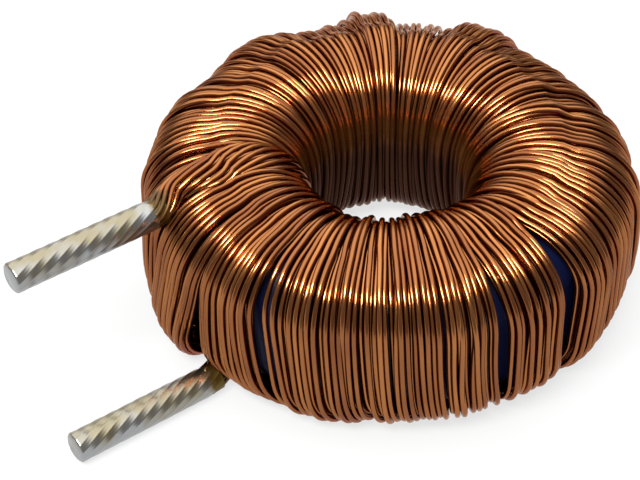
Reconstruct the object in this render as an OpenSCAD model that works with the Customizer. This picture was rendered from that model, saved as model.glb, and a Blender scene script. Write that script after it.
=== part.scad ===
// Toroidal inductor: a coated powder ring wound with one bundle of parallel enamelled strands.
// The bundle starts in a tinned lead on the underside and ends in a tinned lead on the top side.
// Millimetres, +Z up the ring's axis, origin on that axis at the level that the winding rests on.

/* [Core] */
// Outside diameter of the coated ring
core_outer_d = 33.6; // [30:0.2:40]
// Inside diameter of the coated ring
core_inner_d = 19.4; // [18:0.2:24]
// Height of the coated ring
core_height = 11.2; // [8:0.2:16]
// Radius of the ring's rounded edges, as a share of its section's shorter side
edge_share = 0.42; // [0.2:0.02:0.44]

/* [Winding] */
// Turns of the bundle round the ring
turns = 22; // [16:1:24]
// Ridges across the outside of a turn, each for one or two strands
ridge_count = 7; // [5:1:8]
// Diameter of one strand with its enamel
strand_d = 0.44; // [0.32:0.02:0.52]
// Depth of the bundle on the outer wall, in strands
wall_layers = 4.1; // [2.5:0.1:5]
// Depth of the bundle on the two flat faces, in strands
face_layers = 2.5; // [2:0.1:3.2]
// Depth of the bundle inside the hole, in strands
bore_layers = 6.5; // [4.5:0.1:7]
// Room between the ring and the bundle
core_clearance = 0.15; // [0.15:0.05:0.3]
// Narrowest gap between two turns
turn_gap = 0.12; // [0.08:0.02:0.3]
// Widest gap between two turns on the outer wall
wall_gap = 1.2; // [0.4:0.1:1.6]

/* [Leads] */
// Diameter of a tinned lead
lead_d = 2.3; // [1.8:0.1:2.6]
// Length of a lead past the winding
lead_length = 11.0; // [8:0.5:20]
// Length of the smooth solder-filled tip
tip_length = 3.0; // [2:0.5:5]
// Length along a lead for one full twist of its strands
lay_length = 14.0; // [10:0.5:24]
// How far each lead leans sideways, away from the other
splay_width = 0.7; // [0:0.1:0.9]

/* [Hidden] */

copper = "#a8683a";
epoxy_blue = "#161f45";
tin = "#b9b8b4";

// The ring's section
core_width = (core_outer_d - core_inner_d) / 2;
core_edge_r = edge_share * min(core_width, core_height);

// Inner face of the winding, a small clearance off the ring: flats on the outer wall clear its curve
pitch = 360 / turns;
flat_span = 0.85 * pitch;
outer_r = (core_outer_d / 2 + core_clearance) / cos(flat_span / 2);
bore_r = core_inner_d / 2 - core_clearance;
edge_r = core_edge_r + core_clearance;
wall_build = wall_layers * strand_d;
face_build = face_layers * strand_d;
bore_build = bore_layers * strand_d;
low_z = face_build;
core_z = low_z + core_clearance;
high_z = core_z + core_height + core_clearance;

// Centres of the four rounded edges, and the reach of a flat-sided bend that clears them
bend_out = outer_r - edge_r;
bend_in = bore_r + edge_r;
bend_low = low_z + edge_r;
bend_high = high_z - edge_r;
bend_reach = edge_r / cos(45 / 2);

// Where a turn's section is drawn: bend centre, direction of the outward side, distance from the centre
PLACES = [
    [bend_out, bend_low, -45, bend_reach],
    [bend_out, bend_low, -90, edge_r],
    [bend_in, bend_low, -90, edge_r],
    [bend_in, bend_low, -135, bend_reach],
    [bend_in, bend_low, 180, edge_r],
    [bend_in, bend_high, 180, edge_r],
    [bend_in, bend_high, 135, bend_reach],
    [bend_in, bend_high, 90, edge_r],
    [bend_out, bend_high, 90, edge_r],
    [bend_out, bend_high, 45, bend_reach],
    [bend_out, bend_high, 0, edge_r],
    [bend_out, (bend_low + bend_high) / 2, 0, edge_r],
    [bend_out, bend_low, 0, edge_r]
];
START_INDEX = 1;
END_INDEX = 8;
WALL_TOP_INDEX = 10;
WALL_MIDDLE_INDEX = 11;
WALL_FOOT_INDEX = 12;
PLACE_COUNT = len(PLACES);

// Depth of the bundle at each place, and how much of it is lost towards the sides of a turn
wall_bend = (wall_build + face_build) / 2;
wall_shoulder = (wall_build + wall_bend) / 2;
bore_bend = (bore_build + face_build) / 2;
DEPTHS = [wall_bend, face_build, face_build, bore_bend, bore_build, bore_build, bore_bend,
          face_build, face_build, wall_bend, wall_shoulder, wall_build, wall_shoulder];
CROWNS = [0.30, 0.15, 0.10, 0.05, 0.05, 0.05, 0.05, 0.10, 0.15, 0.30, 0.35, 0.40, 0.35];
GAP_SHARES = [0.4, 0.2, 0, 0, 0, 0, 0, 0, 0.2, 0.4, 0.7, 1, 0.7];

// Share of one pitch that a turn has moved on at each place, far from the leads and beside them
FREE_ADVANCE = [0, 0.1, 0.85, 0.9, 0.9, 0.9, 0.9, 0.88, 0.8, 0.82, 0.85, 0.9, 0.97];
LEAD_ADVANCE = [0, -0.05, -0.45, -0.5, -0.5, -0.5, -0.5, -0.45, 0, 0.05, 0.15, 0.55, 0.95];

// The turns are laid from the start lead's direction on round the ring
start_angle = 184.4;
finish_angle = start_angle - pitch;
zone_count = 5;
closing_share = 0.5;
gap_seed = 104;
gap_draws = rands(0, 1, turns + 1, gap_seed);

// The grooves between ridges, and the round of points that a section has
groove = 0.5 * strand_d;
lobe_count = 2 * ridge_count;
ring_count = lobe_count + 4;
hub_index = ring_count - 2;

// A lead is round from the outermost wall on, and its crests stay inside its tip
lead_r = lead_d / 2;
lead_root = outer_r + wall_build;
lead_tip = lead_root + lead_length;
crest_inset = 0.03;
crest_r = lead_r - crest_inset;
lead_groove = 0.12;
tip_overlap = 0.3;
lead_step_count = 7;
BLENDS = [0.4, 0.75];
top_z = high_z + face_build;

function turn_name(i) = str("turn_", i < 9 ? "0" : "", i + 1);
function near_lead(i) = max(0, 1 - min(i, turns - i) / zone_count);
function fade(count) = max(0, 1 - count / zone_count);

// Turns beside the leads lean over the place where the last turn has no outer run
function lean(i, k) =
    k == WALL_TOP_INDEX ? -closing_share * fade(i) :
    k == WALL_MIDDLE_INDEX ? closing_share * (fade(turns - 1 - i) - fade(i)) / 2 :
    k == WALL_FOOT_INDEX ? closing_share * fade(turns - 1 - i) : 0;

// Angle of the border between turn i - 1 and turn i at place k
function border(i, k) =
    let (advance = FREE_ADVANCE[k] + (LEAD_ADVANCE[k] - FREE_ADVANCE[k]) * near_lead(i))
    start_angle + pitch * (i - 0.5 + advance + lean(i, k));

function place_r(k) = PLACES[k][0] + PLACES[k][3] * cos(PLACES[k][2]);
function narrowest_r(k) = place_r(k) + min(0, DEPTHS[k] * cos(PLACES[k][2]));
function gap_width(i, k) = turn_gap + GAP_SHARES[k] * (wall_gap - turn_gap) * gap_draws[i % turns];
function half_gap(i, k) = gap_width(i, k) / 2 / narrowest_r(k) * 180 / PI;

// Point at place k, at an angle round the axis and a height over the inner face
function point(k, angle, height) =
    let (place = PLACES[k],
         reach = place[3] + height,
         r = place[0] + reach * cos(place[2]))
    [r * cos(angle), r * sin(angle), place[1] + reach * sin(place[2])];

// Height of the ridged outside across a turn: t runs from 1 at its far side to -1
function ridge(k, j) =
    let (t = 1 - j / ridge_count)
    DEPTHS[k] * (1 - CROWNS[k] * t * t) - (j % 2 == 0 ? groove : 0);

// Section of turn i at place k: the ridged outside, then three points on the inner face
function section(i, k) =
    k == PLACE_COUNT ? section(i + 1, 0) :
    let (first = border(i, k) + half_gap(i, k),
         last = border(i + 1, k) - half_gap(i + 1, k),
         middle = (first + last) / 2)
    concat(
        [for (j = [0 : lobe_count]) point(k, last + (first - last) * j / lobe_count, ridge(k, j))],
        [point(k, first, 0), point(k, middle, 0), point(k, last, 0)]
    );

// Section of a round lead at x: side is 1 for the top lead, -1 for the bottom one
function lead_section(x, y, z, side) =
    let (turned = 360 * (-x - lead_root) / lay_length)
    [for (j = [0 : ring_count - 1])
        let (a = 90 + (j - ridge_count) * 360 / ring_count + side * turned,
             r = j % 2 == 0 ? crest_r - lead_groove : crest_r)
        [x, y - r * cos(a), z + side * r * sin(a)]];

function mixed(a, b, share) =
    [for (j = [0 : len(a) - 1]) a[j] + (b[j] - a[j]) * share];

// Sections of a lead, from the bundle that it grows out of to the start of its tip
function lead_sections(bundle, y, z, side) =
    let (root = lead_section(-lead_root, y, z, side),
         run = lead_length - tip_length + tip_overlap)
    concat(
        [bundle],
        [for (share = BLENDS) mixed(bundle, root, share)],
        [for (s = [0 : lead_step_count]) lead_section(-lead_root - run * s / lead_step_count, y, z, side)]
    );

function reversed(list) = [for (i = [len(list) - 1 : -1 : 0]) list[i]];

// Solid through a row of sections, closed by a fan at both ends
module bundle(sections) {
    n = ring_count;
    last = len(sections) - 1;
    sides = [for (s = [0 : last - 1], j = [0 : n - 1])
        let (a = s * n + j, b = s * n + (j + 1) % n)
        each [[a, a + n, b], [b, a + n, b + n]]];
    fan = [for (j = [0 : n - 1]) if (j != hub_index && (j + 1) % n != hub_index) [hub_index, j, (j + 1) % n]];
    end = [for (f = fan) [f[0], f[2], f[1]] + last * n * [1, 1, 1]];
    polyhedron(points = [for (s = sections) each s], faces = concat(sides, fan, end));
}

// Smooth end of a lead
module tip(y, z) {
    translate([-lead_tip, y, z])
        rotate([0, 90, 0])
            cylinder(h = tip_length, r = lead_r, $fn = 48);
}

module core() {
    color(epoxy_blue)
        translate([0, 0, core_z])
            rotate_extrude($fn = 128)
                core_profile();
}

// Half section of the ring, a rectangle with four rounded edges
module core_profile() {
    r_in = core_inner_d / 2;
    translate([r_in + core_edge_r, 0])
        square([core_width - 2 * core_edge_r, core_height]);
    translate([r_in, core_edge_r])
        square([core_width, core_height - 2 * core_edge_r]);
    for (x = [core_edge_r, core_width - core_edge_r], z = [core_edge_r, core_height - core_edge_r])
        translate([r_in + x, z])
            circle(r = core_edge_r, $fn = 48);
}

// Turn i: the first begins at the start lead, and the last ends at the finish lead
module turn(i) {
    first = i == 0 ? START_INDEX : 0;
    last = i == turns - 1 ? END_INDEX : PLACE_COUNT;
    color(copper)
        bundle([for (k = [first : last]) section(i, k)]);
}

module start_lead() {
    y = lead_root * sin(start_angle) - splay_width;
    color(tin) {
        bundle(reversed(lead_sections(section(0, START_INDEX), y, lead_r, -1)));
        tip(y, lead_r);
    }
}

module finish_lead() {
    y = lead_root * sin(finish_angle) + splay_width;
    z = top_z - lead_r;
    color(tin) {
        bundle(lead_sections(section(turns - 1, END_INDEX), y, z, 1));
        tip(y, z);
    }
}

core();
for (i = [0 : turns - 1])
    turn(i);
start_lead();
finish_lead();
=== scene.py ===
"""Looks of a toroidal inductor: a coated ring, a winding of enamelled strands and two tinned leads."""

import logging
import math
from dataclasses import dataclass, field
from enum import Enum
from typing import NamedTuple

import bpy
import numpy as np
from bpy.types import ID, Material, Node, NodeSocket, NodeTree, Object
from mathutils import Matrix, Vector


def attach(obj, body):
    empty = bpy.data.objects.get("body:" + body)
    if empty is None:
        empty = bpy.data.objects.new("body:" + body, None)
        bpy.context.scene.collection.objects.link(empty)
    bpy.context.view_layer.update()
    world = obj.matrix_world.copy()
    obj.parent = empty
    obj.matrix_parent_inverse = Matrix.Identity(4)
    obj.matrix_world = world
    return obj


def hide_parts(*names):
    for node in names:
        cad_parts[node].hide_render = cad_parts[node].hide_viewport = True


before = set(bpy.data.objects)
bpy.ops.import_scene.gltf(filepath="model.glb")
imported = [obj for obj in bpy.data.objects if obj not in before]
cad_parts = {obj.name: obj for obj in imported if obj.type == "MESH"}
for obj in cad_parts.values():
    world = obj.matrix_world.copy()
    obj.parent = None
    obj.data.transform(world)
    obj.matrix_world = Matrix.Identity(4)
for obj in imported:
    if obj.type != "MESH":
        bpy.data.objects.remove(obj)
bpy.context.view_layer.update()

MM = 0.001
TUBE_SIDES = 10
FULL_TURN = 2.0 * math.pi
Array = np.ndarray
Color = tuple[float, float, float]
Amounts = tuple[tuple[int, float], ...]
Pair = tuple[float, float]
log = logging.getLogger("inductor")


class Slot(Enum):
    """Material slots of the record that the pieces take their finish from."""

    COAT = "core_coat"
    ENAMEL = "enamelled_copper"
    TIN = "tinned_copper"


class Join(NamedTuple):
    """Samples from a rope's start to the bundle's end, in which its strands gather, and on to the solder."""

    overlap: int
    gather: int
    extra: int


def smooth_step(x: Array) -> Array:
    """Ease from 0 to 1: 3x^2 - 2x^3 on the clipped input."""
    x = np.clip(x, 0.0, 1.0)
    return x * x * (3.0 - 2.0 * x)


def drift(rng: np.random.Generator, shape: tuple[int, ...], span: int, size: float = 1.0) -> Array:
    """Smooth random curves along the last axis: random knots, blended by an eased step between them.

    Args:
        rng: Source of the random draws.
        shape: Shape of the result.
        span: Samples from one knot to the next.
        size: Spread of the knots.
    Returns:
        The curves.
    """
    count = shape[-1]
    knots = rng.normal(size=shape[:-1] + (count // span + 2,))
    place = np.arange(count) / span
    low = place.astype(int)
    share = smooth_step(place - low)
    return size * (knots[..., low] * (1.0 - share) + knots[..., low + 1] * share)


def blurred(rows: Array, reach: int) -> Array:
    """Average along the last axis with a bell of weights, carrying the slope on past both ends.

    Args:
        rows: Values, smoothed along the last axis.
        reach: Samples on each side that count.
    Returns:
        The smoothed values, in the same shape.
    """
    bell = np.hanning(2 * reach + 3)[1:-1]
    bell /= bell.sum()
    pads = [(0, 0)] * (rows.ndim - 1) + [(reach, reach)]
    wide = np.pad(rows, pads, mode="reflect", reflect_type="odd")
    return np.apply_along_axis(np.convolve, -1, wide, bell, mode="valid")


def unit(vectors: Array) -> Array:
    """Scale vectors along the last axis to length 1."""
    return vectors / np.linalg.norm(vectors, axis=-1, keepdims=True)


def circle(count: int) -> Array:
    """Angles of evenly spaced points on a circle, in radians."""
    return FULL_TURN * np.arange(count) / count


def listed(amounts: Amounts, count: int, other: float = 0.0) -> Array:
    """A row of that many values: listed amounts at their numbers, and one other value at the rest."""
    row = np.full(count, other)
    for number, amount in amounts:
        row[number] = amount
    return row


def placed(name: str, data: ID) -> Object:
    """Make an object of a mesh, a lamp or a camera and link it to the scene."""
    obj = bpy.data.objects.new(name, data)
    bpy.context.scene.collection.objects.link(obj)
    return obj


def node_points(name: str) -> Array:
    """Points of a CAD node, (point, 3), in millimetres."""
    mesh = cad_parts[name].data
    co = np.empty(len(mesh.vertices) * 3, np.float32)
    mesh.vertices.foreach_get("co", co)
    return co.reshape(-1, 3).astype(float) / MM


class MeshMaker:
    """Puts numpy grids into Blender meshes."""

    @staticmethod
    def tubes(paths: Array, ups: Array, radius: float
              ) -> tuple[Array, Array, list[Array]]:
        """Round tubes: a circle carried along each path, with flat ends.

        Args:
            paths: Centre lines, (tube, sample, 3).
            ups: A direction off the path at each sample, (tube, sample, 3).
            radius: Radius of the circle.
        Returns:
            The points, the quads of the walls, and the polygons of the two ends.
        """
        ahead = unit(np.gradient(paths, axis=1))
        across = unit(np.cross(ahead, ups))
        over = np.cross(across, ahead)
        angle = circle(TUBE_SIDES)[:, None]
        ring = np.cos(angle) * over[:, :, None] + np.sin(angle) * across[:, :, None]
        verts = (paths[:, :, None] + radius * ring).reshape(-1, 3)
        index = np.arange(len(verts)).reshape(*paths.shape[:2], TUBE_SIDES)
        turned = np.roll(index, -1, axis=2)
        quads = np.stack([index[:, :-1], turned[:, :-1], turned[:, 1:], index[:, 1:]], axis=-1)
        return verts, quads.reshape(-1, 4), [index[:, 0, ::-1], index[:, -1]]

    @staticmethod
    def flanks() -> Array:
        """How far each point of a tube's circle turns away from the outward direction, from 0 to 1. The enamel
        paints shade on the flanks by it.
        """
        return np.clip(1.0 - np.cos(circle(TUBE_SIDES)), 0.0, 1.0)

    @staticmethod
    def piece(name: str, verts: Array, quads: Array, ends: list[Array],
              values: dict[str, Array], material: Material) -> Object:
        """Make a smooth-shaded object from quads, with polygon ends and named values at its points.

        Args:
            name: Name of the piece.
            verts: Points in metres.
            quads: Four point numbers a face.
            ends: Polygons of any size that close open ends, as rows of point numbers.
            values: Named number at each point.
            material: Finish of the piece.
        Returns:
            The new object, linked to the scene.
        """
        mesh = bpy.data.meshes.new(name)
        faces = quads.tolist()
        for rows in ends:
            faces += rows.tolist()
        mesh.from_pydata(verts.tolist(), [], faces)
        mesh.polygons.foreach_set("use_smooth", np.ones(len(mesh.polygons), bool))
        for key, value in values.items():
            layer = mesh.attributes.new(key, "FLOAT", "POINT")
            layer.data.foreach_set("value", np.ascontiguousarray(value, np.float32))
        mesh.materials.append(material)
        mesh.update()
        return placed(name, mesh)


@dataclass(frozen=True)
class RingCore:
    """The coated ring, measured on its CAD node, in millimetres."""

    outer_r: float
    inner_r: float
    low_z: float
    high_z: float
    edge_r: float = 2.98

    @classmethod
    def from_frame(cls) -> "RingCore":
        """Measure the ring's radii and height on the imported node."""
        co = node_points("core")
        r = np.hypot(co[:, 0], co[:, 1])
        return cls(r.max(), r.min(), co[:, 2].min(), co[:, 2].max())

    def dress(self, material: Material) -> None:
        """Give the CAD ring its coat."""
        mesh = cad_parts["core"].data
        mesh.materials.clear()
        mesh.materials.append(material)
        log.info("core: coat")


@dataclass(frozen=True)
class Lean:
    """Where the borders between turns run: numbers of turns, and bearings in degrees."""

    start_angle: float = 184.4
    advance: tuple[float, ...] = (
        -0.32, -0.25, 0.5, 0.58, 0.58, 0.58, 0.58, 0.6, 0.62, 0.62, 0.62, 0.65, 0.67, 0.68)
    swirl: float = 0.36
    swirl_from: float = 139.0
    swing: float = 0.13
    foot_shifts: Amounts = ((18, -0.12), (19, -0.25), (20, -0.4), (21, -0.54), (0, -0.5), (1, 0.1))
    ease: int = 10
    last_half: float = 0.3


@dataclass(frozen=True)
class Gaps:
    """Gaps at the numbered borders between turns, in millimetres. A wide gap also has a shift, in turns."""

    small: float = 0.1
    wide: tuple[tuple[int, float, float], ...] = (
        (20, 0.7, -0.1), (0, 0.1, 0), (1, 1.9, -0.24), (2, 0.2, 0), (4, 2.0, 0.2), (5, 2.5, 0.4),
        (6, 0.4, 0.1), (11, 0.5, 0), (13, 0.5, 0.28))
    rim: Amounts = ((4, 0.4), (5, 1.3), (11, 0.6), (13, 0.5))
    stray_span: int = 20
    stray: float = 0.07


@dataclass(frozen=True)
class Bows:
    """How far the numbered turns stand off the ring, in millimetres, with bearings and spreads in degrees."""

    along: tuple[float, ...] = (0.65, 0.15, 0.4, 1.5, 2.0, 2.1, 1.4, 0.05, 0.2, 0.2, 0.45, 0.7, 0.75, 0.75)
    lump_span: int = 26
    lumps: float = 0.35
    lump_range: Pair = (0.3, 2.0)
    crown: float = 0.4
    near_bearing: float = 231.0
    near_slope: float = 1.4
    lip: float = 0.3
    inner_from: float = 0.3
    inner_stand: float = 0.35
    inner_crown: float = 1.0
    inner_level: float = 0.5
    seam: float = 1.5
    seam_bell: Pair = (173.0, 15.0)
    rope_press: float = 0.6
    rope_bell: Pair = (159.0, 10.0)
    lifts: Amounts = ((8, -0.25), (9, -0.35), (10, -0.5), (11, 0.3), (12, -0.9), (13, 0.1), (14, -0.6),
                      (15, 0.4), (16, -0.5), (17, 0.2), (18, 0.3))
    tucks: Amounts = ((3, -0.2), (4, -0.6), (5, -0.8), (6, -0.4))


@dataclass(frozen=True)
class Comb:
    """How the strands are combed into lanes from -1 to 1 and into layers, and how they settle from there."""

    wall_reach: tuple[float, ...] = (0.95, 0.855)
    face_reach: tuple[float, ...] = (0.7, 0.855, 0.95)
    wall_r: float = 16.6
    wall_fade: float = 3.4
    room_margin: float = 0.6
    least_room: float = 1.0
    layer_step: float = 0.8
    wanders: Amounts = ((34, 0.07), (80, 0.06))
    loose_span: int = 40
    loose: float = 0.5
    loose_from: float = 1.5
    uneven_span: int = 13
    uneven: float = 0.09
    least_slope: float = 0.1
    most_height: float = 9.0
    rounds: int = 50
    push: float = 0.35
    pull: float = 0.05
    ease: tuple[int, int] = (4, 3)
    last_ease: tuple[int, int] = (11, 7)


@dataclass
class Winding:
    """The bundle of strands, laid turn by turn round the ring and pushed apart where strands overlap.

    Along a turn the samples go from the outer bottom edge in under the ring (places 1 to 2), up the hole
    (4 to 5), out over the top (7 to 8) and down the outer wall (10 to 12). Each strand has an angle round the
    axis and a height over the ring at each sample, in millimetres. All turns but the last fill the ring side by
    side. The last is twisted into a rope and lies on top of them.
    """

    core: RingCore
    turns: int
    lean: Lean = Lean()
    gaps: Gaps = Gaps()
    bows: Bows = Bows()
    comb: Comb = Comb()
    top_count: int = 11
    low_count: int = 10
    strand_r: float = 0.22
    wire_r: float = 0.212
    clearance: float = 0.15
    seed: int = 5
    runs: tuple[int, ...] = (6, 4, 12, 8, 12, 4, 12, 8, 6)
    first_place: float = 1.0
    rope_places: tuple[float, ...] = (2.5, 3.5, 4.5, 5.5, 6.2, 7.0, 7.5, 8.0, 8.7)
    rope_bearings: tuple[float, ...] = (161, 159, 158.5, 158, 158.5, 160, 161.5, 162, 161.5)
    rope_heights: tuple[float, ...] = (1.2, 2.0, 2.7, 2.8, 2.4, 1.8, 1.7, 1.65, 1.4)
    rope_ease: int = 5
    start_join: Join = Join(4, 5, 6)
    finish_join: Join = Join(8, 10, 16)
    # Where the enamel's painted shade deep in the hole sets in and how it fades, in millimetres.
    deep_r: float = 9.0
    deep_r_fade: float = 1.2
    deep_over: float = 0.4
    deep_fade: float = 4.5
    angle: Array = field(init=False, repr=False)
    height: Array = field(init=False, repr=False)

    def __post_init__(self) -> None:
        """Lay out the samples of a turn."""
        self.reach = self.core.edge_r + self.clearance
        out_r = self.core.outer_r + self.clearance - self.reach
        in_r = self.core.inner_r - self.clearance + self.reach
        low = self.core.low_z - self.clearance + self.reach
        high = self.core.high_z + self.clearance - self.reach
        corners = [
            (out_r, low, -45, 0), (out_r, low, -90, 1), (in_r, low, -90, 2), (in_r, low, -180, 4),
            (in_r, high, -180, 5), (in_r, high, -270, 7), (out_r, high, -270, 8), (out_r, high, -360, 10),
            (out_r, low, -360, 12), (out_r, low, -405, 13),
        ]
        stretches = zip(corners, corners[1:], self.runs)
        rows = [np.linspace(a, b, count, endpoint=False) for a, b, count in stretches]
        self.bend_r, self.bend_z, facing, self.place = np.vstack(rows).T
        self.facing = np.radians(facing)
        self.base_r = self.bend_r + self.reach * np.cos(self.facing)
        self.samples = len(self.place)
        self.strands = self.top_count + self.low_count
        self.beside = self.turns - 1
        self.pitch = 360.0 / self.beside

    def _by_place(self, row: tuple[float, ...]) -> Array:
        """Spread a row of values, one for each place from 0 on, over the samples of a turn."""
        return np.interp(self.place, np.arange(len(row)), row)

    def _at(self, places: tuple[float, ...], values: tuple[float, ...]) -> Array:
        """Values at the samples of a turn, from knots at some places, joined by straight lines."""
        return np.interp(self.place, places, values)

    def borders(self, rng: np.random.Generator) -> tuple[Array, ...]:
        """Angles of the two sides of each turn, in radians.

        Args:
            rng: Source of the random draws.
        Returns:
            Arrays (turn, sample) for the side before the turn and the side after it.
        """
        lean = self.lean
        count = self.beside + 1
        number = np.arange(count)[:, None]
        turned = number - 0.5 + self._by_place(lean.advance)
        bearing = np.radians(lean.start_angle + self.pitch * number - lean.swirl_from)
        swing = lean.swing * rng.normal(size=(count, 1))
        swing[-1] = swing[0]
        inside = self._at((0.8, 2, 3, 6, 8), (0, 0.9, 1, 1, 0))
        turned = turned - (lean.swirl * np.cos(bearing) + swing) * inside
        foot = listed(lean.foot_shifts, count)[:, None]
        turned += foot * self._at((10.5, 12, 13), (0, 0.9, 1))
        turned[1:] += foot[:-1] * self._at((0, 2), (1, 0))
        shift = listed([(border, amount) for border, _, amount in self.gaps.wide], count)[:, None]
        shift[-1] = shift[0]
        turned += shift * self._at((0, 1, 7, 9, 12, 13), (0.3, 0, 0, 1, 1, 0.3))
        turned = blurred(turned.ravel(), lean.ease).reshape(turned.shape)
        last = self._at((0, 1, 2, 3), (20.2, 20.1, 19.8, 19.55))
        before = np.vstack([turned[:-1], last - lean.last_half])
        after = np.vstack([turned[1:], last + lean.last_half])
        return tuple(np.radians(lean.start_angle + self.pitch * side) for side in (before, after))

    def half_gaps(self, rng: np.random.Generator) -> Array:
        """Half the width of the gap on each side of a turn, in millimetres, widest on the outer wall.

        Args:
            rng: Source of the random draws.
        Returns:
            Array (side, turn, sample).
        """
        gaps = self.gaps
        count = self.beside + 1
        width = listed([(border, gap) for border, gap, _ in gaps.wide], count, gaps.small)
        width[-1] = width[0]
        share = self._at((0, 0.5, 7.5, 9.3, 10.3, 11.3, 12, 13), (0.2, 0, 0, 0.2, 0.8, 1, 0.7, 0.2))
        half = width[:, None] * share / 2.0
        half += listed(gaps.rim, count)[:, None] / 2.0 * self._at((7, 8.6, 10, 11), (0, 1, 1, 0.4))
        stray = drift(rng, (2, self.turns, self.samples), gaps.stray_span, gaps.stray)
        stray = stray * self._at((0, 1, 7, 9), (1, 0, 0.5, 1))
        return np.stack([np.vstack([half[:-1], half[:1]]), np.vstack([half[1:], half[:1]])]) + stray

    def points(self, angle: Array, height: Array) -> Array:
        """Places in space, from angles in radians and heights over the ring in millimetres."""
        facing = self.facing[:, None, None]
        reach = self.reach + height
        r = self.bend_r[:, None, None] + reach * np.cos(facing)
        z = self.bend_z[:, None, None] + reach * np.sin(facing)
        return np.stack([r * np.cos(angle), r * np.sin(angle), z], axis=-1)

    def normals(self, angle: Array) -> Array:
        """Outward directions of the ring's surface at those angles."""
        flat = np.broadcast_to(np.cos(self.facing)[:, None, None], angle.shape)
        up = np.broadcast_to(np.sin(self.facing)[:, None, None], angle.shape)
        return np.stack([flat * np.cos(angle), flat * np.sin(angle), up], axis=-1)

    def _across(self, rows: Array) -> Array:
        """Reorder one long row for each strand into (sample, turn, strand)."""
        return rows.reshape(-1, self.turns, self.samples).transpose(2, 1, 0)

    def _eased(self, grid: Array, reach: int) -> Array:
        """Smooth each strand of (sample, turn, strand) along its whole length."""
        rows = grid.transpose(2, 1, 0).reshape(self.strands, -1)
        return self._across(blurred(rows, reach))

    def _push(self, place: Array, present: Array) -> Array:
        """Moves that take overlapping strands of the same turn and of the two beside it apart.

        Args:
            place: Places of the strands, (sample, turn, strand, 3).
            present: Whether the turn has strands at that sample, (sample, turn).
        Returns:
            A move for each place: the sum of its overlaps, each along the line between the two strands.
        """
        wide = 2.0 * self.strand_r
        other_strand = ~np.eye(self.strands, dtype=bool)
        push = np.zeros_like(place)
        for shift in (-1, 0, 1):
            beside = np.roll(place, shift, axis=1)
            both = present & np.roll(present, shift, axis=1)
            gap = place[:, :, :, None] - beside[:, :, None]
            far = np.sqrt((gap * gap).sum(-1)) + 1e-6
            over = np.maximum(wide - far, 0.0) * both[:, :, None, None]
            if shift == 0:
                over = over * other_strand
            push += ((over / far)[..., None] * gap).sum(3)
        return push

    @staticmethod
    def _near(angle: Array, bearing: float, spread: float) -> Array:
        """A bell round a bearing, both in degrees: e to the minus square of the offset over the spread."""
        off = (angle - np.radians(bearing) + np.pi) % FULL_TURN - np.pi
        return np.exp(-(off / np.radians(spread)) ** 2)

    def _standoff(self, rng: np.random.Generator, lanes: Array, middle: Array) -> Array:
        """How far the lowest strands stand off the ring: each bundle bows out by its own amount.

        Args:
            rng: Source of the random draws.
            lanes: Place of each strand across its turn, from -1 to 1, (sample, turn, strand).
            middle: Angle of each turn's middle, (sample, turn), in radians.
        Returns:
            Millimetres, in the shape of the lanes.
        """
        bows = self.bows
        lump = self._across(drift(rng, (1, self.turns * self.samples), bows.lump_span, bows.lumps))
        lump = lump * self._at((1, 3, 4.5, 5.5), (1, 0.25, 0.25, 1))[:, None, None]
        lump = np.clip(1.0 + lump, *bows.lump_range)
        crown = self._at((0, 1, 7.5, 9, 11, 13), (0.4, 0, 0, 0.7, 1, 0.4))[:, None, None]
        near = np.cos(middle - np.radians(bows.near_bearing)) * bows.near_slope
        lip = self._at((4.8, 6, 6.6, 8.5), (0, 1, 1, 0))[:, None] * smooth_step(near)
        seam = self._at((0, 1, 10, 11.8, 13), (0.9, 0, 0.1, 1, 0.9))[:, None]
        seam = seam * self._near(middle, *bows.seam_bell)
        pressed = self._near(middle, *bows.rope_bell)[:, :, None] * (crown == 0)
        bow = self._by_place(bows.along)[:, None, None] * lump * (1.0 - bows.rope_press * pressed)
        overhang = self._at((4, 5, 6.2, 7.2), (0, 0.8, 1, 0))[:, None] * smooth_step(-near)
        bow = bow + overhang[:, :, None]
        inner = self._at((4, 5.5, 7, 8.2), (0, 1, 1, 0))[:, None] * smooth_step(bows.inner_from - near)
        stand = bows.inner_stand * rng.normal(size=self.turns)[:, None]
        bow = bow + inner[:, :, None] * (stand + bows.inner_crown * (bows.inner_level - lanes**2))
        rim = self._at((7, 8.5, 10, 11.5), (0, 1, 1, 0))[:, None] * listed(bows.lifts, self.turns)
        rim = rim + self._at((10.5, 12), (0, 1))[:, None] * listed(bows.tucks, self.turns)
        bow = bow + rim[:, :, None] + bows.crown * lump * crown * (1.0 - lanes**2)
        return np.maximum(bow + (bows.lip * lip + bows.seam * seam)[:, :, None], 0.0)

    def _ranks(self) -> list[Array]:
        """Strands of the three layers that the wall's two make farther in, from the lowest."""
        top = np.arange(self.top_count)
        low = self.top_count + np.arange(self.low_count)
        middle = np.stack([low[::3], np.append(top[2::3], -1)], axis=1).ravel()[:-1]
        return [np.setdiff1d(low, middle), middle, np.setdiff1d(top, middle)]

    def _narrow(self) -> Array:
        """Share of the three-layer stack, (sample, 1): 0 on the outer wall, 1 far in and in the hole."""
        return smooth_step((self.comb.wall_r - self.base_r) / self.comb.wall_fade)[:, None]

    def _lanes(self) -> Array:
        """Place of each strand across its turn, from -1 to 1, (sample, 1, strand)."""
        counts = (self.top_count, self.low_count)
        wall = np.concatenate([np.linspace(-x, x, count) for x, count in zip(self.comb.wall_reach, counts)])
        face = wall.copy()
        for rank, reach in zip(self._ranks(), self.comb.face_reach):
            face[rank] = np.linspace(-reach, reach, len(rank))
        narrow = self._narrow()
        return (wall * (1.0 - narrow) + face * narrow)[:, None, :]

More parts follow.
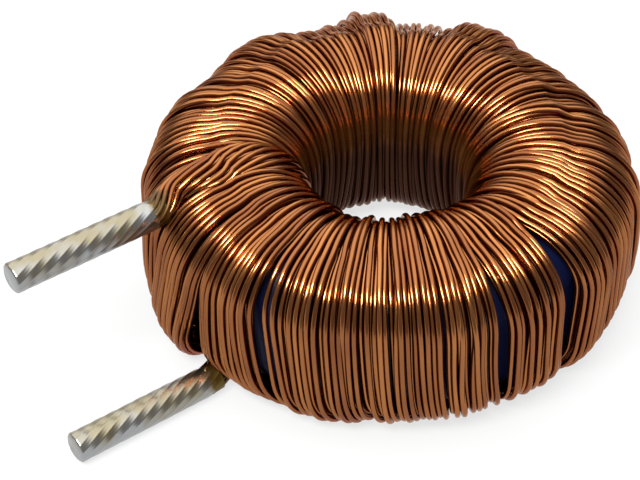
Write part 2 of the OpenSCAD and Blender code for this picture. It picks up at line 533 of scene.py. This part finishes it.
    def _layers(self, room: Array) -> Array:
        """Height of each strand over the lowest ones: two layers on the outer wall, three farther in.

        Args:
            room: Width of each turn on the outer wall, (sample, turn). Farther in, all have the same room.
        Returns:
            Millimetres, (sample, turn, strand).
        """
        wall_ranks = [self.top_count + np.arange(self.low_count), np.arange(self.top_count)]
        narrow = self._narrow()[..., None]
        even = FULL_TURN * (self.base_r - self.comb.room_margin) / self.beside
        even = np.broadcast_to(even[:, None], room.shape)
        return self._stacked(wall_ranks, room) * (1.0 - narrow) + self._stacked(self._ranks(), even) * narrow

    def _stacked(self, ranks: list[Array], room: Array) -> Array:
        """Heights of strands that lie in layers: every other one steps up where room is short.

        Args:
            ranks: Strands of each layer, from the lowest.
            room: Width of each turn, (sample, turn).
        Returns:
            Millimetres, (sample, turn, strand).
        """
        wide = 2.0 * self.strand_r
        height = np.zeros((*room.shape, self.strands))
        level = np.zeros((*room.shape, 1))
        for rank in ranks:
            step = np.sqrt(np.maximum(wide**2 - (room / len(rank)) ** 2, 0.0))[..., None]
            height[:, :, rank] = level + step * (np.arange(len(rank)) % 2)
            level = level + step + self.comb.layer_step * wide
        return height

    def _homes(self) -> tuple[Array, Array]:
        """Angles and heights, (sample, turn, strand), that the strands are combed to before they push."""
        comb = self.comb
        rng = np.random.default_rng(self.seed)
        before, after = (side.T[:, :, None] for side in self.borders(rng))
        shape = (self.strands, self.turns * self.samples)
        wander = sum(drift(rng, shape, *knots) for knots in comb.wanders)
        loose = drift(rng, shape, comb.loose_span)
        wander += comb.loose * np.sign(loose) * np.maximum(np.abs(loose) - comb.loose_from, 0.0)
        lanes = np.clip(self._lanes() + self._across(wander), -1.0, 1.0)
        gap = self.half_gaps(rng).transpose(0, 2, 1)[..., None] / self.base_r[:, None, None]
        before, after = before + gap[0], after - gap[1]
        middle = (before + after) / 2.0
        home = self.strand_r + self._standoff(rng, lanes, middle[:, :, 0])
        room = (after - before)[:, :, 0] * (self.base_r - comb.room_margin)[:, None]
        home = home + self._layers(np.maximum(room, comb.least_room))
        home += np.abs(self._across(drift(rng, shape, comb.uneven_span, comb.uneven)))
        return middle + lanes * (after - before) / 2.0, home

    def _ceiling(self) -> Array:
        """Heights, (sample, 1, 1), at which strands under the ring touch the floor."""
        down = np.maximum(-np.sin(self.facing), self.comb.least_slope)
        floor = (self.bend_z - self.strand_r) / down - self.reach
        return np.minimum(floor, self.comb.most_height)[:, None, None]

    def settle(self) -> None:
        """Push overlapping strands apart, round by round, while they are pulled home and smoothed."""
        comb = self.comb
        target, home = self._homes()
        ceiling = self._ceiling()
        present = np.ones((self.samples, self.turns), bool)
        present[self.place < self.first_place, 0] = False
        present[self.place > self.rope_places[0], -1] = False
        angle, height = target, np.minimum(home, ceiling)
        for _ in range(comb.rounds):
            place = self.points(angle, height).astype(np.float32)
            push = self._push(place, present)
            tangent = np.stack([-np.sin(angle), np.cos(angle), np.zeros_like(angle)], axis=-1)
            r_true = np.hypot(place[..., 0], place[..., 1])
            angle = angle + comb.push * (push * tangent).sum(-1) / r_true + comb.pull * (target - angle)
            outward = (push * self.normals(angle)).sum(-1)
            height = height + comb.push * outward + comb.pull * (home - height)
            angle = self._eased(angle, comb.ease[0])
            height = np.clip(self._eased(height, comb.ease[1]), self.strand_r, ceiling)
        self.angle = self._eased(angle, comb.last_ease[0])
        self.height = np.clip(self._eased(height, comb.last_ease[1]), self.strand_r, ceiling)
        over = np.linalg.norm(push, axis=-1)[present]
        log.info("winding: strands still press %.3f mm into others, on average", over.mean())

    def strand_paths(self, turn: int) -> tuple[Array, Array]:
        """Centre lines and outward directions of one turn's strands, up to the next turn's second sample.

        Args:
            turn: Number of the turn, from 0.
        Returns:
            Two arrays (strand, sample, 3), the first in millimetres.
        """
        place = self.points(self.angle, self.height)
        out = self.normals(self.angle)
        path, ups = place[:, turn], out[:, turn]
        if turn + 1 < self.turns:
            path = np.concatenate([path, place[:2, turn + 1]])
            ups = np.concatenate([ups, out[:2, turn + 1]])
        return path.transpose(1, 0, 2), ups.transpose(1, 0, 2)

    def rope_line(self) -> tuple[Array, Array, int]:
        """Centre line of the last turn's rope, from the foot of the hole's wall to the outer edge of the top.

        Returns:
            Points (sample, 3) in millimetres, outward directions, and the sample of a turn where it begins.
        """
        picked = (self.place >= self.rope_places[0]) & (self.place <= self.rope_places[-1])
        bearing = blurred(self._at(self.rope_places, self.rope_bearings), self.rope_ease)
        height = blurred(self._at(self.rope_places, self.rope_heights), self.rope_ease)
        angle = np.radians(bearing)[:, None, None]
        line = self.points(angle, height[:, None, None])[picked, 0, 0]
        ups = self.normals(angle)[picked, 0, 0]
        return line, ups, int(np.argmax(picked))

    def _deep(self, path: Array) -> Array:
        """How deep in the hole the points lie, from 0 to 1: the mask of the enamel's painted shade there."""
        inside = smooth_step((self.deep_r - np.hypot(path[..., 0], path[..., 1])) / self.deep_r_fade)
        return inside * smooth_step((self.core.high_z + self.deep_over - path[..., 2]) / self.deep_fade)

    def build(self, material: Material, start: "Lead", finish: "Lead") -> None:
        """Make one piece of strands for each turn.

        Args:
            material: The enamel finish.
            start: Lead that the first turn begins in.
            finish: Lead that the last turn ends in.
        """
        tone = np.random.default_rng(self.seed + 1).uniform(-1.0, 1.0, self.strands)
        for turn in range(self.turns):
            path, ups = self.strand_paths(turn)
            burn = np.zeros(path.shape[:2])
            if turn == 0:
                first = int(np.argmax(self.place >= self.first_place))
                path, ups = path[:, first:][:, ::-1], ups[:, first:][:, ::-1]
                tail = slice(-self.start_join.overlap, None)
                line, normals = path.mean(axis=0)[tail], ups.mean(axis=0)[tail]
                path, ups, burn = start.joined(path, ups, line, normals, self.start_join)
            if turn == self.turns - 1:
                line, normals, first = self.rope_line()
                head = slice(first + self.finish_join.overlap)
                path, ups = path[:, head], ups[:, head]
                path, ups, burn = finish.joined(path, ups, line, normals, self.finish_join)
            path[..., 2] = np.maximum(path[..., 2], self.wire_r)
            verts, quads, ends = MeshMaker.tubes(path * MM, ups, self.wire_r * MM)
            # The deep and flank values mask the enamel's painted shade: deep in the hole, and on each strand's
            # flanks.
            values = {
                "tone": np.repeat(tone, path.shape[1] * TUBE_SIDES),
                "burn": np.repeat(burn.ravel(), TUBE_SIDES),
                "deep": np.repeat(self._deep(path).ravel(), TUBE_SIDES),
                "flank_shade": np.tile(MeshMaker.flanks(), path.shape[0] * path.shape[1]),
            }
            name = f"turn_{turn + 1:02d}"
            obj = MeshMaker.piece(name + "_strands", verts, quads, ends, values, material)
            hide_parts(name)
            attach(obj, "root")
            log.info("%s: %d strands, %d points", obj.name, self.strands, len(verts))


@dataclass(frozen=True)
class Lead:
    """A tinned lead: strands twisted into a rope and dipped in solder. Millimetres, measured on its CAD node.

    The rope's strands lie in an outer and an inner ring. The solder rod has a ridge over each outer strand.
    """

    name: str
    tip_x: float
    y: float
    z: float
    root_x: float
    radius: float = 1.15
    outer_count: int = 12
    inner_count: int = 9
    inner_r: float = 0.5
    strand_r: float = 0.22
    lay: float = 14.0
    rope_lay: float = 16.0
    plunge: float = 1.2
    loose: Pair = (2.0, 4.0)
    flatten: Pair = (0.6, 0.42)
    burn: Pair = (1.2, 3.0)
    rows: int = 150
    sides: int = 120
    groove: float = 0.03
    lumps: float = 0.03
    lump_spans: tuple[int, int] = (16, 30)
    lump_shift: int = 7
    lump_ease: int = 12
    tip_edge: float = 0.22
    root_sink: float = 0.12
    root_sink_over: float = 1.6
    root_burn_over: float = 2.6
    seed: int = 3

    @classmethod
    def from_frame(cls, name: str, root_x: float) -> "Lead":
        """Measure the lead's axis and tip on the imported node.

        Args:
            name: Name of the CAD node.
            root_x: Where the solder begins.
        Returns:
            The lead.
        """
        co = node_points(name)
        tip = co[:, 0].min()
        end = co[co[:, 0] < tip + 0.01]
        y, z = (end[:, 1:].min(axis=0) + end[:, 1:].max(axis=0)) / 2.0
        return cls(name, tip, y, z, root_x)

    def rope(self, path: Array, ups: Array) -> Array:
        """Strands twisted round a centre line, flat at first, in step with the solder's ridges at its end.

        Args:
            path: Centre line, (sample, 3), running into the lead.
            ups: A direction off the line at each sample.
        Returns:
            Centre lines of the strands, (strand, sample, 3), the outer ring first.
        """
        ahead = unit(np.gradient(path, axis=0))
        side = unit(np.cross(ahead, ups))
        over = np.cross(side, ahead)
        step = np.linalg.norm(np.diff(path, axis=0), axis=1)
        gone = np.concatenate([[0.0], np.cumsum(step)])
        turned = FULL_TURN * (gone - gone[-1]) / self.rope_lay
        angle = np.concatenate([circle(self.outer_count), circle(self.inner_count)])[:, None] + turned
        outer_r = self.radius - self.strand_r
        ring_r = np.repeat([outer_r, self.inner_r], [self.outer_count, self.inner_count])[:, None, None]
        loose = smooth_step((gone[-1] - gone - self.loose[0]) / self.loose[1])[:, None]
        side = side * (1.0 + self.flatten[0] * loose)
        over = over * (1.0 - self.flatten[1] * loose)
        return path + ring_r * (np.cos(angle)[..., None] * side + np.sin(angle)[..., None] * over)

    def joined(self, path: Array, ups: Array, line: Array, normals: Array, join: Join
               ) -> tuple[Array, Array, Array]:
        """Gather a bundle's last samples into a rope and run it into the solder along a Hermite curve.

        Args:
            path: Strand centre lines, (strand, sample, 3), running towards the lead.
            ups: Directions off the path.
            line: Centre line of the rope's first samples, (sample, 3).
            normals: Directions off that line.
            join: Samples in which it happens.
        Returns:
            Longer paths, their directions, and how much burnt flux each sample carries.
        """
        start = line[-1]
        slope = unit(line[-1] - line[-3])
        end = np.array([self.root_x - self.plunge, self.y, self.z])
        span = np.linalg.norm(end - start)
        t = np.linspace(0.0, 1.0, join.extra + 1)[1:, None]
        h1, h2 = 2 * t**3 - 3 * t**2 + 1, t**3 - 2 * t**2 + t
        h3, h4 = -2 * t**3 + 3 * t**2, t**3 - t**2
        bridge = h1 * start + h2 * slope * span + h3 * end + h4 * np.array([-span, 0.0, 0.0])
        centre = np.concatenate([line, bridge])
        upward = np.sign(normals[-1, 2]) * np.array([0.0, 0.0, 1.0])
        lifts = np.concatenate([normals, normals[-1] * (1.0 - t) + upward * t])
        rope = self.rope(centre, lifts)
        free = path.shape[1] - join.overlap
        order = self._matched(path[:, free] - path[:, free].mean(axis=0), rope[:, 0] - centre[0])
        rest = np.repeat(path[:, -1:], len(centre) - join.overlap, axis=1)
        whole = np.concatenate([path, rest], axis=1)
        twisted = whole.copy()
        twisted[:, free:] = rope[order]
        share = smooth_step((np.arange(whole.shape[1]) - free) / join.gather)[None, :, None]
        mixed = whole * (1.0 - share) + twisted * share
        longer = np.concatenate([ups[:, :free], np.broadcast_to(lifts, (len(path), *lifts.shape))], axis=1)
        left = np.linalg.norm(np.diff(mixed.mean(axis=0), axis=0), axis=1)[::-1].cumsum()[::-1]
        burn = smooth_step(self.burn[0] - np.append(left, 0.0) / self.burn[1])
        return mixed, longer, np.broadcast_to(burn, mixed.shape[:2])

    @staticmethod
    def _matched(lanes: Array, ring: Array) -> Array:
        """Give each strand a nearby place in the rope: the nearest free one, the farthest strands first.

        Args:
            lanes: Offsets of the strands from the bundle's middle.
            ring: Offsets of the rope's places from its middle.
        Returns:
            Place number for each strand.
        """
        far = np.linalg.norm(lanes[:, None] - ring[None], axis=-1)
        order = np.full(len(lanes), -1)
        for strand in np.argsort(-np.linalg.norm(lanes, axis=1)):
            place = int(np.argmin(far[strand]))
            order[strand] = place
            far[:, place] = np.inf
        return order

    def _ridged(self, x: Array, angle: Array) -> Array:
        """Radius of the solder at places and angles: full over the outer strands, grooved between them."""
        turned = FULL_TURN * (self.root_x - self.plunge - x) / self.lay
        local = (angle[None] - turned[:, None]) * self.outer_count / FULL_TURN
        slant = ((local + 0.5) % 1.0 - 0.5) * FULL_TURN / self.outer_count
        ring_r = self.radius - self.strand_r
        bulge = np.sqrt(np.maximum(self.strand_r**2 - (ring_r * np.sin(slant)) ** 2, 0.0))
        depth = self.radius - (ring_r * np.cos(slant) + bulge)
        return self.radius - self.groove * np.tanh(depth / self.groove)

    def build(self, material: Material) -> None:
        """Make the solder rod: ridges that follow the strands, soft lumps, a rounded tip and a sunk root.

        Args:
            material: The tin finish.
        """
        rng = np.random.default_rng(self.seed)
        rows, sides = self.rows, self.sides
        x = self.root_x + (self.tip_x - self.root_x) * np.linspace(0.0, 1.0, rows)
        angle = circle(sides)
        short, long = (drift(rng, (sides, rows), span) for span in self.lump_spans)
        lumps = short.T + np.roll(long, self.lump_shift, axis=0).T
        lumps = blurred(np.concatenate([lumps, lumps, lumps], axis=1), self.lump_ease)[:, sides:2 * sides]
        r = self._ridged(x, angle) + self.lumps * lumps
        inset = np.maximum(self.tip_edge - np.abs(x - self.tip_x), 0.0)[:, None]
        r = r - self.tip_edge + np.sqrt(np.maximum(self.tip_edge**2 - inset**2, 0.0))
        from_root = np.abs(x - self.root_x)
        r = r - self.root_sink * smooth_step(1.0 - from_root[:, None] / self.root_sink_over)
        wide, high = self.y + r * np.cos(angle), self.z + r * np.sin(angle)
        verts = np.stack([np.broadcast_to(x[:, None], r.shape), wide, high], -1).reshape(-1, 3)
        index = np.arange(rows * sides).reshape(rows, sides)
        turned = np.roll(index, -1, axis=1)
        quads = np.stack([index[:-1], index[1:], turned[1:], turned[:-1]], axis=-1).reshape(-1, 4)
        ends = [index[:1], index[-1:, ::-1]]
        burn = np.repeat(smooth_step(1.0 - from_root / self.root_burn_over), sides)
        obj = MeshMaker.piece(self.name + "_solder", verts * MM, quads, ends, {"burn": burn}, material)
        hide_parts(self.name)
        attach(obj, "root")
        log.info("%s: solder rod to x = %.1f mm", obj.name, self.tip_x)


class Nodes:
    """Short calls for building a shader tree."""

    def __init__(self, tree: NodeTree) -> None:
        """Keep the tree that the nodes go into."""
        self.tree = tree

    def add(self, kind: str, **options: object) -> Node:
        """Add a node and set its properties.

        Args:
            kind: Type name of the node, without the leading word ShaderNode.
            options: Properties to set on it.
        Returns:
            The node.
        """
        node = self.tree.nodes.new("ShaderNode" + kind)
        for key, value in options.items():
            setattr(node, key, value)
        return node

    def put(self, socket: NodeSocket, value: object) -> None:
        """Link an output to a socket, or write a constant to it."""
        if isinstance(value, NodeSocket):
            self.tree.links.new(value, socket)
        elif isinstance(value, tuple) and len(value) == 3 and socket.type == "RGBA":
            socket.default_value = (*value, 1.0)
        else:
            socket.default_value = value

    def value(self, name: str) -> NodeSocket:
        """A named number kept at the points of the mesh."""
        return self.add("Attribute", attribute_name=name).outputs["Fac"]

    def math(self, operation: str, a: object, b: object, clamp: bool = False) -> NodeSocket:
        """Work on two numbers, each a socket or a constant."""
        node = self.add("Math", operation=operation, use_clamp=clamp)
        self.put(node.inputs[0], a)
        self.put(node.inputs[1], b)
        return node.outputs[0]

    def ramp(self, value: object, start: float, slope: float) -> NodeSocket:
        """Rise from 0 at a start, by a slope, to 1 at most."""
        return self.math("MULTIPLY", self.math("SUBTRACT", value, start), slope, clamp=True)

    def mix(self, share: object, a: object, b: object) -> NodeSocket:
        """Blend two colours, each a socket or a constant."""
        node = self.add("Mix", data_type="RGBA")
        for key, value in (("Factor", share), ("A", a), ("B", b)):
            self.put(node.inputs[key], value)
        return node.outputs["Result"]

    def group(self, tree: NodeTree, **inputs: object) -> Node:
        """Use a shared group and set its inputs by name."""
        node = self.add("Group", node_tree=tree)
        for key, value in inputs.items():
            self.put(node.inputs[key], value)
        return node


class Effects:
    """Node groups that several finishes share."""

    SPOTS = (900.0, 4.0)
    SPOT_SHARE = 1.1
    FLUX_RAMP = (0.95, 2.6)
    FLUX_ROUGH = 0.2
    LEAST_BURN = 0.001

    def __init__(self) -> None:
        """Make the groups once."""
        self.mottle = self._mottle()
        self.flux = self._flux()

    @staticmethod
    def _tree(name: str, inputs: dict[str, str], outputs: dict[str, str]
              ) -> tuple[NodeTree, Nodes, Node, Node]:
        """Start a group with its sockets, given as labels and kinds."""
        tree = bpy.data.node_groups.new(name, "ShaderNodeTree")
        for way, sockets in (("INPUT", inputs), ("OUTPUT", outputs)):
            for label, kind in sockets.items():
                tree.interface.new_socket(label, in_out=way, socket_type="NodeSocket" + kind)
        start = tree.nodes.new("NodeGroupInput")
        end = tree.nodes.new("NodeGroupOutput")
        return tree, Nodes(tree), start, end

    def _mottle(self) -> NodeTree:
        """Soft blotches of a given size in the object's own coordinates."""
        inputs = {"Scale": "Float", "Detail": "Float"}
        tree, kit, start, end = self._tree("Mottle", inputs, {"Amount": "Float"})
        noise = kit.add("TexNoise")
        kit.put(noise.inputs["Vector"], kit.add("TexCoord").outputs["Object"])
        for key in inputs:
            kit.put(noise.inputs[key], start.outputs[key])
        kit.put(end.inputs["Amount"], noise.outputs["Fac"])
        return tree

    def _flux(self) -> NodeTree:
        """Burnt flux, patchy, over a colour and a roughness."""
        tree, kit, start, end = self._tree(
            "Flux", {"Color": "Color", "Roughness": "Float", "Burn": "Float", "Stain": "Color"},
            {"Color": "Color", "Roughness": "Float"})
        spots = kit.math("MULTIPLY", self.blotch(kit, *self.SPOTS), self.SPOT_SHARE)
        share = kit.ramp(kit.math("ADD", start.outputs["Burn"], spots), *self.FLUX_RAMP)
        burnt = kit.math("GREATER_THAN", start.outputs["Burn"], self.LEAST_BURN)
        share = kit.math("MULTIPLY", share, burnt)
        kit.put(end.inputs["Color"], kit.mix(share, start.outputs["Color"], start.outputs["Stain"]))
        rough = kit.math("ADD", start.outputs["Roughness"], kit.math("MULTIPLY", share, self.FLUX_ROUGH))
        kit.put(end.inputs["Roughness"], rough)
        return tree

    def blotch(self, kit: Nodes, scale: float, detail: float) -> NodeSocket:
        """Amount of blotches of a scale and a detail."""
        return kit.group(self.mottle, Scale=scale, Detail=detail).outputs["Amount"]

    def burn(self, kit: Nodes, shader: Node, color: NodeSocket, rough: NodeSocket, stain: Color) -> None:
        """Lay burnt flux over a colour and a roughness, and link both to the shader."""
        flux = kit.group(self.flux, Color=color, Roughness=rough, Burn=kit.value("burn"), Stain=stain)
        kit.put(shader.inputs["Base Color"], flux.outputs["Color"])
        kit.put(shader.inputs["Roughness"], flux.outputs["Roughness"])


@dataclass(frozen=True)
class Finish:
    """A finish on one Principled shader. Subclasses vary its colour and roughness."""

    name: str
    color: Color
    metallic: float = 0.0
    roughness: float = 0.4
    coat: float = 0.0
    coat_roughness: float = 0.06
    coat_ior: float = 1.6

    def material(self) -> Material:
        """Make the material, with constant values on the shader's own sockets."""
        mat = bpy.data.materials.new(self.name)
        mat.use_nodes = True
        shader = mat.node_tree.nodes["Principled BSDF"]
        constants = {
            "Base Color": (*self.color, 1.0), "Metallic": self.metallic, "Roughness": self.roughness,
            "Coat Weight": self.coat, "Coat Roughness": self.coat_roughness, "Coat IOR": self.coat_ior,
        }
        for key, value in constants.items():
            shader.inputs[key].default_value = value
        self.vary(Nodes(mat.node_tree), shader)
        return mat

    def vary(self, kit: Nodes, shader: Node) -> None:
        """Add the finish's variation. A plain finish has none."""


@dataclass(frozen=True)
class Enamel(Finish):
    """Clear enamel over copper: browns that differ by strand, with painted shade on the strands' flanks and
    deep in the hole, burnt at the leads.
    """

    effects: Effects = field(kw_only=True)
    pale: Color = (0.36, 0.135, 0.034)
    dark: Color = (0.18, 0.053, 0.010)
    # Painted shade deep in the hole: a near-black brown.
    painted_hole_shade: Color = (0.017, 0.0065, 0.0055)
    edge: Color = (0.7, 0.45, 0.3)
    # Painted shade between strands: a dark red-brown laid on each strand's flanks.
    groove: Color = (0.21, 0.045, 0.006)
    stain: Color = (0.09, 0.045, 0.012)
    blotches: Pair = (260.0, 2.0)
    tone_share: float = 0.4
    groove_shade_ramp: Pair = (0.15, 1.4)
    # How much painted shade deep in the hole, and the metal level it drops to there.
    hole_shade_share: float = 0.92
    hole_shade_metallic: float = 0.5
    rough_spread: float = 0.12
    specular: float = 0.1

    def vary(self, kit: Nodes, shader: Node) -> None:
        """Blend the browns by strand and by blotch, paint shade on the strands' flanks and deep in the hole,
        then burn them.
        """
        blotch = self.effects.blotch(kit, *self.blotches)
        deep = kit.value("deep")
        tone = kit.math("MULTIPLY", kit.value("tone"), self.tone_share)
        color = kit.mix(kit.math("ADD", tone, blotch, clamp=True), self.dark, self.pale)
        # Painted shade between the strands: each tube's flanks go towards the dark groove colour.
        flank_shade = kit.ramp(kit.value("flank_shade"), *self.groove_shade_ramp)
        color = kit.mix(flank_shade, color, self.groove)
        # Painted shade deep in the hole: the colour goes towards a near-black brown with depth.
        color = kit.mix(kit.math("MULTIPLY", deep, self.hole_shade_share), color, self.painted_hole_shade)
        spread = kit.math("MULTIPLY", blotch, self.rough_spread)
        rough = kit.math("ADD", spread, self.roughness - self.rough_spread / 2.0)
        self.effects.burn(kit, shader, color, rough, self.stain)
        # Less metal and coat deep in the hole, for the same painted shade.
        outside_hole_shade = kit.math("SUBTRACT", 1.0, deep)
        metal = kit.math("MULTIPLY", outside_hole_shade, self.metallic - self.hole_shade_metallic)
        kit.put(shader.inputs["Metallic"], kit.math("ADD", metal, self.hole_shade_metallic))
        kit.put(shader.inputs["Specular IOR Level"], self.specular)
        kit.put(shader.inputs["Specular Tint"], self.edge)
        kit.put(shader.inputs["Coat Weight"], kit.math("MULTIPLY", outside_hole_shade, self.coat))


@dataclass(frozen=True)
class Tin(Finish):
    """Dull solder with a yellowish bloom, stained by flux at the root."""

    effects: Effects = field(kw_only=True)
    bloom: Color = (0.26, 0.225, 0.14)
    stain: Color = (0.13, 0.085, 0.02)
    blotches: Pair = (420.0, 3.0)
    bloom_lying: float = 0.25
    bloom_ramp: Pair = (0.48, 3.5)
    bloom_share: float = 0.9
    rough_spread: float = 0.2

    def vary(self, kit: Nodes, shader: Node) -> None:
        """Blend in the bloom, most where the surface faces up, and the stain."""
        blotch = self.effects.blotch(kit, *self.blotches)
        split = kit.add("SeparateXYZ")
        kit.put(split.inputs[0], kit.add("TexCoord").outputs["Normal"])
        lying = kit.math("ADD", blotch, kit.math("MULTIPLY", split.outputs["Z"], self.bloom_lying))
        share = kit.ramp(lying, *self.bloom_ramp)
        color = kit.mix(kit.math("MULTIPLY", share, self.bloom_share), self.color, self.bloom)
        spread = kit.math("MULTIPLY", blotch, self.rough_spread)
        rough = kit.math("ADD", spread, self.roughness - self.rough_spread / 2.0)
        self.effects.burn(kit, shader, color, rough, self.stain)


@dataclass(frozen=True)
class WhiteFloor(Finish):
    """A pale floor that looks nearly white to the camera and in reflections, and keeps a soft shadow.

    Far in front of the object, where the camera doesn't see it, the floor fades to a dim one.
    """

    whiteness: float = 0.72
    toward: tuple[float, float, float] = (0.0, -1.0, 0.0)
    fade: Pair = (0.024, 0.14)
    dim: float = 0.25

    def vary(self, kit: Nodes, shader: Node) -> None:
        """Mix a white glow into what the camera and the reflections see, and fade it to the front."""
        along = kit.add("VectorMath", operation="DOT_PRODUCT")
        kit.put(along.inputs[0], kit.add("TexCoord").outputs["Object"])
        kit.put(along.inputs[1], self.toward)
        level = kit.add("MapRange", interpolation_type="SMOOTHSTEP")
        kit.put(level.inputs["Value"], along.outputs["Value"])
        limits = {"From Min": self.fade[0], "From Max": self.fade[1], "To Min": 1.0, "To Max": self.dim}
        for key, value in limits.items():
            kit.put(level.inputs[key], value)
        front = tuple(self.dim * value for value in self.color)
        kit.put(shader.inputs["Base Color"], kit.mix(level.outputs["Result"], front, self.color))
        path = kit.add("LightPath")
        seen = kit.math("MAXIMUM", path.outputs["Is Camera Ray"], path.outputs["Is Glossy Ray"])
        seen = kit.math("MAXIMUM", seen, path.outputs["Is Transmission Ray"])
        glow = kit.add("Emission")
        kit.put(glow.inputs["Strength"], level.outputs["Result"])
        mix = kit.add("MixShader")
        kit.put(mix.inputs[0], kit.math("MULTIPLY", seen, self.whiteness))
        kit.put(mix.inputs[1], shader.outputs["BSDF"])
        kit.put(mix.inputs[2], glow.outputs["Emission"])
        kit.put(kit.tree.nodes["Material Output"].inputs["Surface"], mix.outputs["Shader"])


@dataclass(frozen=True)
class Studio:
    """Floor, lights and camera. The camera's lengths are in millimetres, its picture's in pixels."""

    azimuth: float = -39.0
    elevation: float = 40.74
    distance: float = 141.0
    focal_px: float = 1826.0
    off_px: Pair = (68.3, 31.5)
    width_px: float = 640.0
    sensor: float = 36.0
    clip_start: float = 0.005
    middle_z: float = 6.85
    sky_from: Pair = (113.0, 20.0)
    sky: tuple[tuple[float, Color], ...] = ((0.42, (0.34, 0.33, 0.33)), (0.80, (2.4, 2.4, 2.4)))
    floor_half: float = 2.0

    def _direction(self, elevation: float, turn: float = 0.0) -> Vector:
        """Unit vector from the object towards the camera's side, at an elevation and a turn in degrees."""
        az, el = math.radians(self.azimuth + turn), math.radians(elevation)
        return Vector((math.sin(az) * math.cos(el), -math.cos(az) * math.cos(el), math.sin(el)))

    def camera(self) -> None:
        """Set the camera where the photo's outline puts it."""
        back = self._direction(self.elevation)
        right = Vector((0, 0, 1)).cross(back).normalized()
        up = back.cross(right)
        middle = Vector((0, 0, self.middle_z))
        eye = middle + back * self.distance
        aim = middle - (right * self.off_px[0] + up * self.off_px[1]) * self.distance / self.focal_px
        data = bpy.data.cameras.new("camera")
        data.sensor_width = self.sensor
        data.lens = self.focal_px / self.width_px * self.sensor
        data.clip_start = self.clip_start
        cam = placed("camera", data)
        cam.location = eye * MM
        cam.rotation_euler = (eye - aim).to_track_quat("Z", "Y").to_euler()
        bpy.context.scene.camera = cam

    def lamp(self, name: str, elevation: float, turn: float, far: float, size: Pair,
             watts: float) -> None:
        """Hang a soft lamp that faces the object.

        Args:
            name: Name of the lamp.
            elevation: Degrees over the floor.
            turn: Degrees round from the camera's side.
            far: Distance in metres.
            size: Width and height in metres.
            watts: Power.
        """
        data = bpy.data.lights.new(name, "AREA")
        data.shape = "RECTANGLE"
        data.size, data.size_y = size
        data.energy = watts
        obj = placed(name, data)
        way = self._direction(elevation, turn)
        obj.location = way * far
        obj.rotation_euler = way.to_track_quat("Z", "Y").to_euler()

    def lights(self) -> None:
        """A soft lamp over the camera, and a surround that is pale above and dim behind the camera."""
        world = bpy.data.worlds.new("surround")
        bpy.context.scene.world = world
        world.use_nodes = True
        kit = Nodes(world.node_tree)
        dot = kit.add("VectorMath", operation="DOT_PRODUCT")
        kit.put(dot.inputs[0], kit.add("TexCoord").outputs["Generated"])
        kit.put(dot.inputs[1], self._direction(*self.sky_from))
        ramp = kit.add("ValToRGB")
        ramp.color_ramp.interpolation = "EASE"
        for stop, (position, color) in zip(ramp.color_ramp.elements, self.sky):
            stop.position = position
            stop.color = (*color, 1.0)
        kit.put(ramp.inputs["Fac"], dot.outputs["Value"])
        kit.put(kit.tree.nodes["Background"].inputs["Color"], ramp.outputs["Color"])
        self.lamp("key", elevation=57.0, turn=-22.0, far=0.45, size=(0.25, 0.10), watts=3.0)

    def floor(self) -> None:
        """A wide pale floor at the winding's underside."""
        half = self.floor_half
        mesh = bpy.data.meshes.new("floor")
        corners = [(-half, -half, 0), (half, -half, 0), (half, half, 0), (-half, half, 0)]
        mesh.from_pydata(corners, [], [(0, 1, 2, 3)])
        white = WhiteFloor("floor", (0.5, 0.5, 0.5), roughness=0.9, toward=tuple(self._direction(0.0)))
        mesh.materials.append(white.material())
        obj = placed("floor", mesh)


def main() -> None:
    """Build the pieces in order and report each one."""
    logging.basicConfig(level=logging.INFO, format="%(message)s")
    bpy.context.scene.view_settings.view_transform = "Standard"
    studio = Studio()
    studio.camera()
    studio.lights()
    studio.floor()
    core = RingCore.from_frame()
    core.dress(Finish(Slot.COAT.value, (0.004, 0.006, 0.03), roughness=0.3).material())
    turns = sum(name.startswith("turn_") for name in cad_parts)
    winding = Winding(core, turns)
    winding.settle()
    start = Lead.from_frame("start_lead", root_x=-17.6)
    finish = Lead.from_frame("finish_lead", root_x=-17.3)
    effects = Effects()
    enamel = Enamel(Slot.ENAMEL.value, (0.30, 0.11, 0.03), metallic=1.0, roughness=0.18, coat=0.34,
                    effects=effects)
    winding.build(enamel.material(), start, finish)
    tin = Tin(Slot.TIN.value, (0.33, 0.335, 0.34), metallic=1.0, roughness=0.3, effects=effects).material()
    start.build(tin)
    finish.build(tin)


if __name__ == "__main__":
    main()
